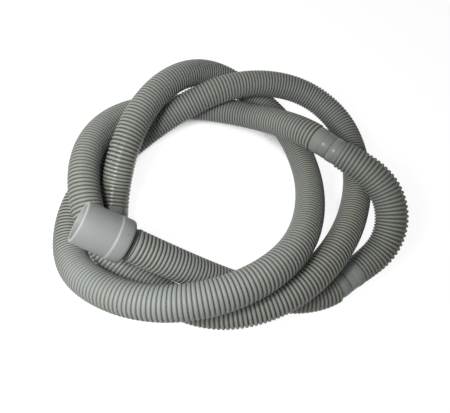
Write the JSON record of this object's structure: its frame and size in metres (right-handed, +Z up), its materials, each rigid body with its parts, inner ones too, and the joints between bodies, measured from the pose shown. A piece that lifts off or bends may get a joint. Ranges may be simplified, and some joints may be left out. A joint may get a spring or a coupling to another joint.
{
  "type": "dishwasher drain hose",
  "caption": "Light grey corrugated drain hose in a loose coil, with a tighter-bending flexible stretch, smooth moulded collars and a soft connector cuff.",
  "frame": {"origin": "middle of the bottom of the coil's box, on the surface that it lies on", "axes": "+Z up, +X along the coil's longest side, to the right as seen from the front, where the cuff is at the left"},
  "size_m": [0.2651, 0.2475, 0.0822],
  "materials": {
    "hose_plastic": "semi-gloss moulded",
    "cuff_rubber": "matte moulded"
  },
  "bodies": {
    "root": {"corrugated_hose": "hose_plastic", "connector_cuff": "cuff_rubber"}
  },
  "joints": []
}
